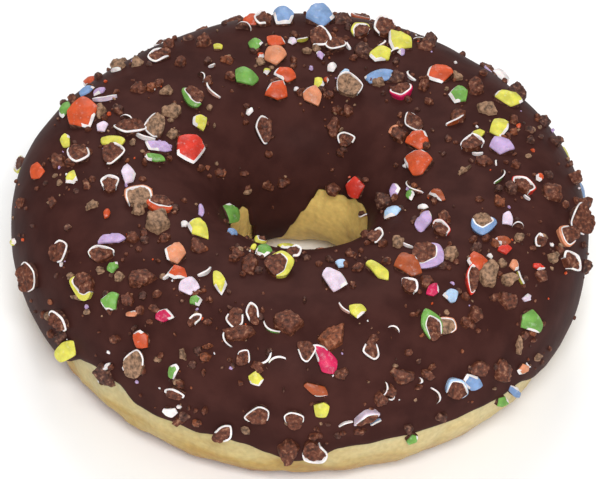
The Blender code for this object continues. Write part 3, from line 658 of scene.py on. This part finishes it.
def make_dough():
    """The fried ring, with a wrinkled skin where it is bare, flat underneath."""
    columns, rows = DOUGH_POINTS
    bearing, climb = dough_grid(columns, rows)
    inset = dough_inset(bearing, climb).ravel()
    bearing, climb = bearing.ravel(), climb.ravel()
    smooth_skin = ring_points(bearing, climb, inset)
    above_base = smooth(smooth_skin[:, 2] / 3)
    relief = ripple(smooth_skin, *DOUGH_BUMPS)
    points = ring_points(bearing, climb, inset + 0.1 - relief * above_base)
    points[:, 2] = np.where(smooth_skin[:, 2] < 0.01, 0, points[:, 2])
    made = new_mesh("dough_ring", points, grid_faces(rows, columns, True), [dough_material()])
    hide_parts("dough")


def coat_span(bearing):
    """The icing's span with the small waves of its edge."""
    start, stop = icing_span(bearing)
    angle = np.radians(bearing)
    circle = np.stack([np.sin(angle), np.cos(angle), np.zeros_like(angle)], -1)
    return start + ripple(circle, OUTER_WAVES), stop + ripple(circle, INNER_WAVES)


def make_icing():
    """The coat of icing, with a rounded edge that comes down on the dough."""
    columns, rows = ICING_POINTS
    around = np.arange(columns) * 360 / columns
    start, stop = coat_span(around)
    turn = np.cos(np.pi * np.linspace(0, 1, rows))
    share = 0.5 - 0.5 * turn * (0.35 + 0.65 * np.abs(turn) ** 0.2)
    share = (share - share[0]) / (share[-1] - share[0])
    climb = start + (stop - start) * share[:, None]
    bearing = np.broadcast_to(around, climb.shape)
    within = np.minimum(climb - start, stop - climb)
    seat_inset = dough_inset(bearing, climb) + 0.05
    edge = np.clip(1 - within / BEAD, 0, 1)
    inset = seat_inset * (1 - np.sqrt(np.clip(1 - edge ** 2, 0, 1)))
    bearing, climb, inset, edge = (part.ravel() for part in (bearing, climb, inset, edge))
    waves = ripple(ring_points(bearing, climb, inset), *ICING_BUMPS)
    points = ring_points(bearing, climb, inset - waves * (1 - edge))
    made = new_mesh("icing_coat", points, grid_faces(rows, columns), [icing_material()])
    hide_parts("icing")


def ring_ways(bearing, climb, step):
    """The ring's directions at a place, round it and over it, along two steps in degrees."""
    return (Vector(ring_points(bearing + 1, climb) - ring_points(bearing - 1, climb)),
            Vector(ring_points(bearing, climb + step) - ring_points(bearing, climb - step)))


def seat(bearing, climb):
    """The place on the icing and its directions: right, up the slope and outward."""
    place = Vector(ring_points(bearing, climb))
    round_way, over_way = ring_ways(bearing, climb, 2)
    outward = round_way.cross(over_way).normalized()
    right = Vector((1, 0, 0)) - outward * outward.x
    if abs(outward.x) > 0.8:
        right = Vector((0, 0.65, 0.76)).cross(outward)
    right.normalize()
    return place, right, outward.cross(right), outward


def height_of(width, rule):
    """The height that a piece's width gives by a rule of share, height besides and greatest."""
    share, besides, greatest = rule
    return min(share * width + besides, greatest)


def footing(bearing, climb, width):
    """Where a piece stands whose raised face is seen, from the front, at the place given."""
    outward = seat(bearing, climb)[3]
    rise = height_of(width, FACE_HEIGHT)
    towards = FACING - outward * FACING.dot(outward)
    shift = towards * rise / max(FACING.dot(outward), 0.5)
    round_way, over_way = (way / 2 for way in ring_ways(bearing, climb, 1))
    return (bearing + shift.dot(round_way) / round_way.length_squared,
            climb + shift.dot(over_way) / over_way.length_squared)


class Bed:
    """Where a piece lies: its place, its own directions and how its face slopes along them."""

    def __init__(self, bearing, climb, turn, width=None):
        if width is not None:
            bearing, climb = footing(bearing, climb, width)
        place, right, up_slope, outward = seat(bearing, climb)
        angle = math.radians(turn)
        lengthways = right * math.cos(angle) + up_slope * math.sin(angle)
        sideways = outward.cross(lengthways)
        towards = FACING - outward * FACING.dot(outward)
        slope = -LEAN * towards.length * towards
        self.place = np.array(place)
        self.axes = np.array((lengthways, sideways, outward))
        self.slope = np.array((slope.dot(lengthways), slope.dot(sideways)))
        self.root = 0.5 * max(float(dough_inset(bearing, climb)) - GAP, 0.5)

    def lay(self, points, knee=None, knee_height=1.0):
        """Points along a piece's length, width and height, sloped as its face and set down.

        The knee holds the corners of the face, which decide how far the piece is lifted.
        """
        points = np.array(points, float)
        if knee is not None:
            lift = max(CLEARANCE - (knee[:, 2] + knee[:, :2] @ self.slope).min(), 0)
            share = np.clip((points[:, 2] + self.root) / (knee_height + self.root), 0, 1)
            points[:, 2] += share * (points[:, :2] @ self.slope + lift)
        return self.place + points @ self.axes


class Heap:
    """Many small closed shapes that are joined in one mesh."""

    def __init__(self):
        self.points = []
        self.faces = []
        self.slots = []
        self.count = 0

    def add(self, points, faces, slots):
        """Takes one shape in, with the material slot of each face."""
        self.points.append(points)
        self.faces += [[corner + self.count for corner in face] for face in faces]
        self.slots += slots
        self.count += len(points)


def broken_outline(length, width, draw, back=1.0):
    """An uneven outline round the middle of a piece, which may be cut short at its back."""
    corners = []
    for corner in range(CORNERS):
        angle = math.radians(360 / CORNERS * corner + draw.uniform(-CORNER_SWING, CORNER_SWING))
        reach = draw.uniform(*CORNER_REACH) * (back if corner in (2, 3) else 1)
        corners.append((length / 2 * reach * math.cos(angle), width / 2 * reach * math.sin(angle)))
    return np.array(corners)


def outline_through(corners, count, roundness):
    """Points round a closed outline through its corners, from straight-sided to fully round."""
    around = np.linspace(0, len(corners), count, endpoint=False)
    step = around.astype(int)
    share = (around - step)[:, None]
    before, here, ahead, beyond = (corners[(step + by) % len(corners)] for by in (-1, 0, 1, 2))
    straight = here * (1 - share) + ahead * share
    curved = here + (ahead - before) * share / 2
    curved += (2 * before - 5 * here + 4 * ahead - beyond) * share ** 2 / 2
    curved += (3 * here - before - 3 * ahead + beyond) * share ** 3 / 2
    return straight * (1 - roundness) + curved * roundness


def stack(levels, slots_between):
    """A closed shape from loops of equal length: bands between them, and fans over both ends.

    The slots hold a material for each band, or a list of them with one for each of its faces.
    """
    count = len(levels[0])
    points = np.concatenate([*levels, [levels[0].mean(0)], [levels[-1].mean(0)]])
    faces, slots = [], []
    for row, slot in enumerate(slots_between):
        low, high = row * count, (row + 1) * count
        for step in range(count):
            ahead = (step + 1) % count
            faces.append([low + step, low + ahead, high + ahead, high + step])
        slots += [int(value) for value in np.broadcast_to(slot, count)]
    bottom, top = len(points) - 2, len(points) - 1
    last = (len(levels) - 1) * count
    for step in range(count):
        ahead = (step + 1) % count
        faces += [[ahead, step, bottom], [last + step, last + ahead, top]]
        slots += [slots[0], slots[-1]]
    return points, faces, slots


def sweep(sections, skins):
    """A closed shape through a row of sections, with a material for each side and white ends."""
    depth = len(skins)
    end = depth * (len(sections) - 1)
    faces = []
    for low in range(0, end, depth):
        for part in range(depth):
            ahead = (part + 1) % depth
            faces.append([low + part, low + depth + part, low + depth + ahead, low + ahead])
    faces += [[*range(depth)], [*reversed(range(end, end + depth))]]
    slots = skins * (len(sections) - 1) + [WHITE, WHITE]
    return np.array(sections).reshape(-1, 3), faces, slots


def loop(outline, share, height):
    """The outline shrunk to a share of its size, at a height or at a height for each point."""
    share = np.broadcast_to(share, len(outline))[:, None]
    return np.column_stack([outline * share, np.broadcast_to(height, len(outline))])


def roughened(points, size, height, seed, mask=1.0):
    """Points pushed out from their middle by small random bumps, where the mask lets them."""
    away = points - points.mean(0)
    reach = np.linalg.norm(away, axis=1)[:, None] + 1e-9
    bumps = ripple(points, (size, height, seed), (size / 2.6, height / 2, seed + 50))
    return points + away / reach * (bumps * mask)[:, None]


def add_dome(heap, place, size, corners, seed):
    """A piece of candy shell with its outside up, broken off at one side down to its filling."""
    bed = Bed(*place, size[1])
    height = height_of(size[1], DOME_HEIGHT)
    draw = random.Random(seed)
    outline = outline_through(corners, OUTLINE_POINTS, draw.uniform(0.2, 0.6))
    angle = np.degrees(np.arctan2(outline[:, 1], outline[:, 0]))
    centre, reach = draw.uniform(0, 360), draw.choice(DOME_BREAKS)
    apart = np.abs((angle - centre + 180) % 360 - 180)
    broken = smooth((reach - apart) / 20)
    rim = 0.65 * height
    shell = min(draw.uniform(*SHELL), 0.6 * rim)

    def cap(share):
        across = outline * np.broadcast_to(share, len(outline))[:, None]
        distance = ((across * 2 / np.array(size)) ** 2).sum(1)
        face = loop(across, 1, height * (1 - 0.38 * distance))
        face[:, 2] += ripple(face + seed, *SHELL_BUMPS)
        return face

    inner = 0.96 - broken * CHAMFER / np.linalg.norm(outline, axis=1)
    edge_top = cap(0.97)[:, 2]
    levels = [loop(outline, 1 - 0.06 * broken, -bed.root),
              roughened(loop(outline, 0.985 - 0.08 * broken, 0.25 * rim), 0.8, 0.3, seed, broken),
              loop(outline, 0.975 - 0.04 * broken, edge_top - shell - 0.03),
              loop(outline, 0.985, edge_top - shell),
              loop(outline, 0.5 * (0.985 + inner), edge_top - 0.07)]
    levels += [cap(share * inner) for share in DOME_RINGS]
    edge = np.where(broken > 0.5, WHITE, SKIN)
    # The bands below the shell are dark filling, and they also serve as painted shade under the
    # thin plate of shell.
    points, faces, slots = stack(levels, [CORE] * 3 + [edge] * 2 + [SKIN] * 5)
    heap.add(bed.lay(points, loop(corners, 0.95, rim), rim), faces, slots)


def rim_section(across, inner, height, root, fade, band):
    """The section of a cup's wall at one point of its outline: up the outside, down the inside."""
    x, y = across
    top = height - fade
    steps = ((0.75, -root), (0.93, 0.5 * height), (1.0, top - 0.2 - 0.8 * band),
             (1.0 - 0.25 * band, top - 0.03 - 0.4 * band), (0.985 - band, top),
             (inner + 0.02, top), (inner, top - 0.06), (0.9 * inner, 0.2 * height))
    return [(x * share, y * share, level) for share, level in steps]


def add_cup(heap, colour, place, size, corners, seed):
    """A piece broken open: a rim of shell round part of it, and filling inside."""
    bed = Bed(*place, size[1])
    length, width = size
    height = height_of(width, CUP_HEIGHT)
    draw = random.Random(seed)
    outline = outline_through(corners, CUP_POINTS, 0.85)
    reach = draw.uniform(*CUP_REACH)
    shell = min(draw.uniform(*SHELL), 0.16 * min(length, width))
    angle = np.degrees(np.arctan2(outline[:, 1] / width, outline[:, 0] / length))
    band = 0 if colour == "white" else BAND_SHARES[colour not in BROAD_BANDS]
    band = band * (1 - np.clip(np.abs(angle) / reach, 0, 1) ** 2)
    inner = 1 - band - shell / np.linalg.norm(outline, axis=1)
    knee = loop(corners, 1.0, height)
    walled = np.abs(angle) < reach

    sections = []
    for index in np.argsort(angle):
        if walled[index]:
            fade = 0.3 * height * (abs(angle[index]) / reach) ** 4
            sections.append(rim_section(outline[index], inner[index], height, bed.root, fade,
                                        band[index]))
    outside, near_rim = (CORE, WHITE) if colour == "white" else (SKIN, SKIN)
    skins = [outside, outside, near_rim, near_rim, WHITE, WHITE, WHITE, outside]
    points, faces, slots = sweep(sections, skins)
    heap.add(bed.lay(points, knee, height), faces, slots)

    edge = outline * np.where(walled, inner + 0.03, 0.97)[:, None]
    swell = draw.uniform(-0.2, 0.4)
    levels = [loop(edge, 0.75, -bed.root), roughened(loop(edge, 0.9, 0.4 * height), 0.9, 0.2, seed)]
    for share in CUP_RINGS:
        face = loop(edge, share, height - 0.16 + swell * (1 - share ** 2))
        face[:, 2] += ripple(face + seed, *INSIDE_BUMPS)
        levels.append(face)
    inside = PALE if place[:2] in PALE_CUPS else FILLING
    points, faces, slots = stack(levels, [inside] * (len(levels) - 1))
    heap.add(bed.lay(points, knee, height), faces, slots)


def add_lump(heap, place, size, corners, tops, seed):
    """An angular lump of filling, with a face of flat facets and a grainy surface."""
    bed = Bed(*place, size[1])
    height = height_of(size[1], LUMP_HEIGHT)
    draw = random.Random(seed)
    outline = outline_through(corners, OUTLINE_POINTS, 0.15)
    facets = [(height * draw.uniform(0.85, 1.12), draw.uniform(-0.5, 0.5), draw.uniform(-0.5, 0.5))
              for _ in range(5)]

    def top(share):
        across = outline * share
        heights = [level + across @ np.array((x, y)) for level, x, y in facets]
        return np.clip(np.min(heights, 0), 0.45 * height, 1.05 * height)

    rim = top(LUMP_RINGS[0])
    levels = [loop(outline, 1 - 0.14 * share, rim * share) for share in LUMP_SIDE]
    levels += [loop(outline, share, top(share)) for share in LUMP_RINGS]
    levels = [roughened(level, 1.0, 0.3, seed) for level in levels]
    for level in levels:
        level[:, 2] += ripple(level + seed, *LUMP_BUMPS)
    levels.insert(0, loop(outline, 1.0, -bed.root))
    points, faces, slots = stack(levels, [0] * (len(levels) - 1))
    knee = np.append(corners * 0.7, (height * np.array(tops))[:, None], 1)
    heap.add(bed.lay(points, knee, 0.75 * height), faces, slots)


def add_shard(heap, place, length, height, seed):
    """A thin curved piece of shell on edge, white where it is broken and brown within."""
    bed = Bed(*place, height)
    draw = random.Random(seed)
    sag = draw.uniform(0.12, 0.24) * length * draw.choice((-1, 1))
    lean = draw.uniform(0.05, 0.5) * math.copysign(1, sag)
    half = 0.5 * draw.uniform(*SHELL)
    sections = []
    for share in np.linspace(-1, 1, SHARD_STEPS + 1):
        x, y = length / 2 * share, sag * (1 - share ** 2)
        tall = height * (1 - 0.6 * abs(share) ** 3)
        sections.append([(x, y - half, -0.4), (x, y - half + lean * tall, tall),
                         (x, y + half + lean * tall, tall), (x, y + half, -0.4)])
    near, far = (CORE, SKIN) if sag > 0 else (SKIN, CORE)
    points, faces, slots = sweep(sections, [near, WHITE, far, CORE])
    heap.add(bed.lay(points), faces, slots)


def hidden_pieces(draw):
    """Pieces for the belts that the front hides, none closer to another than the spacing."""
    pieces = []
    for (first, last), (low, high), count in HIDDEN_BELTS:
        taken = []
        tries = 0
        while len(taken) < count and tries < 4000:
            tries += 1
            bearing, climb = draw.uniform(first, last), draw.uniform(low, high)
            place = Vector(ring_points(bearing, climb))
            if all((place - other).length > HIDDEN_SPACING for other in taken):
                largest, smallest = HIDDEN_SIZES
                length = largest + (smallest - largest) * len(taken) / count
                taken.append(place)
                pieces.append((bearing, climb, length, length * draw.uniform(0.6, 0.95),
                               draw.uniform(0, 360)))
    return pieces


def with_colours(pieces, colours):
    """Pieces with colours in turn before their sizes."""
    return tuple((colours[index % len(colours)], *piece) for index, piece in enumerate(pieces))


def make_pieces(heaps):
    """The pieces that have solids, from the same draws as those, then the smaller ones."""
    draw, small = random.Random(CAD_SEED), random.Random(SMALL_SEED)
    hidden = hidden_pieces(draw)
    domes = DOMES + with_colours(hidden[0::3], HIDDEN_COLOURS)
    cups = CUPS + with_colours(hidden[1::3], HIDDEN_COLOURS)
    lumps = LUMPS + with_colours(hidden[2::3], FILLINGS)
    seed = RELIEF_SEED
    spots = []
    for kind, pieces, source in (("dome", domes, draw), ("cup", cups, draw), ("lump", lumps, draw),
                                 ("dome", SMALL_DOMES, small), ("lump", SMALL_LUMPS, small)):
        for colour, bearing, climb, length, width, turn in pieces:
            seed += 1
            spots.append((bearing, climb))
            corners = broken_outline(length, width, source, CUP_BACK if kind == "cup" else 1.0)
            place, size = (bearing, climb, turn), (length, width)
            if kind == "dome":
                add_dome(heaps[colour], place, size, corners, seed)
            elif kind == "cup":
                add_cup(heaps[colour], colour, place, size, corners, seed)
            else:
                tops = [source.uniform(0.7, 1.0) for _ in corners]
                add_lump(heaps[colour], place, size, corners, tops, seed)
    for colour, bearing, climb, length, height, turn in SHARDS:
        seed += 1
        add_shard(heaps[colour], (bearing, climb, turn), length, height, seed)
    return spots


def crumb_place(draw, spots, loose):
    """A place for a crumb: anywhere on the icing, or near one of the pieces."""
    while True:
        if loose:
            bearing, climb = draw.uniform(0, 360), draw.uniform(-40, 200)
        else:
            bearing, climb = draw.choice(spots)
            bearing += draw.gauss(0, CRUMB_SPREAD[0])
            climb += draw.gauss(0, CRUMB_SPREAD[1])
        start, stop = (float(end) for end in icing_span(bearing))
        if start + 6 < climb < stop - 6:
            return bearing, climb


def make_crumbs(spots):
    """Crumbs of several colours strewn over the icing, each a small angular ball."""
    draw = random.Random(CRUMB_SEED)
    heaps = {}
    around = np.arange(CRUMB_CORNERS) * math.tau / CRUMB_CORNERS
    for index in range(CRUMB_COUNT):
        loose = draw.random() < CRUMBS_LOOSE
        colour = "brown" if loose else CRUMB_COLOURS[index % len(CRUMB_COLOURS)]
        bearing, climb = crumb_place(draw, spots, loose)
        small, large = CRUMB_SIZES
        large = large if colour in FILLINGS else 0.6 * large
        size = small + (large - small) * draw.random() ** 2
        flat = draw.uniform(0.5, 1.0)
        levels = []
        for share, height in CRUMB_LEVELS:
            radii = size / 2 * share * np.array([draw.uniform(0.65, 1.15) for _ in around])
            across = np.column_stack([radii * np.cos(around), radii * flat * np.sin(around)])
            levels.append(loop(across, 1, height * size * 0.65))
        points, faces, slots = stack(levels, [0] * (len(levels) - 1))
        heap = heaps.setdefault(colour, Heap())
        heap.add(Bed(bearing, climb, draw.uniform(0, 360)).lay(points), faces, slots)
    return heaps


def finish_of(colour):
    """The materials of a colour's pieces: for candy its skin, broken shell and the fillings."""
    if colour in FILLINGS:
        return [bpy.data.materials.get(f"filling_{colour}") or filling_material(colour)]
    skin = bpy.data.materials.get(f"shell_{colour}") or candy_material(colour)
    white = bpy.data.materials.get("shell_white") or candy_material("white")
    return [skin, white, *(finish_of(filling)[0] for filling in ("dark", "brown", "tan"))]


def make_candies():
    """One mesh for each colour of shell and filling, and one for each colour of crumb."""
    heaps = {colour: Heap() for colour in (*CANDY_COLOURS, *FILLINGS)}
    spots = make_pieces(heaps)
    for colour, heap in heaps.items():
        name = f"filling_{colour}" if colour in FILLINGS else f"candy_{colour}"
        made = new_mesh(name, np.concatenate(heap.points), heap.faces, finish_of(colour),
                        heap.slots)
        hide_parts("icing")
    for colour, heap in make_crumbs(spots).items():
        new_mesh(f"crumbs_{colour}", np.concatenate(heap.points), heap.faces, finish_of(colour),
                 heap.slots)


def make_floor():
    """A plain white floor that is no part of the doughnut."""
    made, tree, shader = new_material("floor_white")
    fill_inputs(tree, shader, {"Base Color": (0.95, 0.95, 0.95), "Roughness": 0.9})
    mesh = bpy.data.meshes.new("floor")
    corners = ((-1, -1), (1, -1), (1, 1), (-1, 1))
    mesh.from_pydata([(x * FLOOR_REACH, y * FLOOR_REACH, FLOOR_LEVEL * MM) for x, y in corners],
                     [], [(0, 1, 2, 3)])
    mesh.materials.append(made)
    floor = bpy.data.objects.new("floor", mesh)
    bpy.context.scene.collection.objects.link(floor)


def add_light(name, bearing, elevation, distance, size, watts):
    """A square soft light, facing the doughnut from a bearing and an elevation in degrees."""
    light = bpy.data.lights.new(name, "AREA")
    light.size = size
    light.energy = watts
    made = bpy.data.objects.new(name, light)
    bearing, elevation = math.radians(bearing), math.radians(elevation)
    way = Vector((math.sin(bearing) * math.cos(elevation), -math.cos(bearing) * math.cos(elevation),
                  math.sin(elevation)))
    made.location = way * distance
    made.rotation_euler = way.to_track_quat("Z", "Y").to_euler()
    bpy.context.scene.collection.objects.link(made)


def make_lights():
    """A bright even studio: a white sky, a soft light in front and a weaker one behind."""
    world = bpy.data.worlds.new("studio")
    world.use_nodes = True
    sky = world.node_tree.nodes["Background"]
    fill_inputs(world.node_tree, sky, {"Color": (1, 1, 1), "Strength": SKY_STRENGTH})
    bpy.context.scene.world = world
    for light in LIGHTS:
        add_light(*light)


def make_camera():
    """The photograph's view, from far off with a long lens."""
    camera = bpy.data.cameras.new("camera")
    camera.sensor_width = SENSOR_WIDTH
    camera.lens = PIXELS_PER_MM * CAMERA_DISTANCE * SENSOR_WIDTH / PHOTO_SIZE[0]
    camera.shift_x = (PHOTO_SIZE[0] / 2 - PHOTO_CENTRE[0]) / PHOTO_SIZE[0]
    camera.shift_y = (PHOTO_CENTRE[1] - PHOTO_SIZE[1] / 2) / PHOTO_SIZE[0]
    camera.clip_end = VIEW_REACH
    elevation, roll = math.radians(CAMERA_ELEVATION), math.radians(CAMERA_ROLL)
    away = Vector((0, -math.cos(elevation), math.sin(elevation)))
    right, up = Vector((1, 0, 0)), Vector((0, math.sin(elevation), math.cos(elevation)))
    turned_right = right * math.cos(roll) + up * math.sin(roll)
    turned_up = up * math.cos(roll) - right * math.sin(roll)
    made = bpy.data.objects.new("camera", camera)
    centre = (Vector(SHIFT) + Vector((0, 0, BASE))) * MM
    turn = Matrix((turned_right, turned_up, away)).transposed().to_4x4()
    made.matrix_world = Matrix.Translation(centre + away * CAMERA_DISTANCE * MM) @ turn
    bpy.context.scene.collection.objects.link(made)
    bpy.context.scene.camera = made


def main():
    """Builds the whole scene."""
    make_dough()
    make_icing()
    make_candies()
    make_floor()
    make_lights()
    make_camera()
    bpy.context.scene.view_settings.view_transform = "Standard"


main()
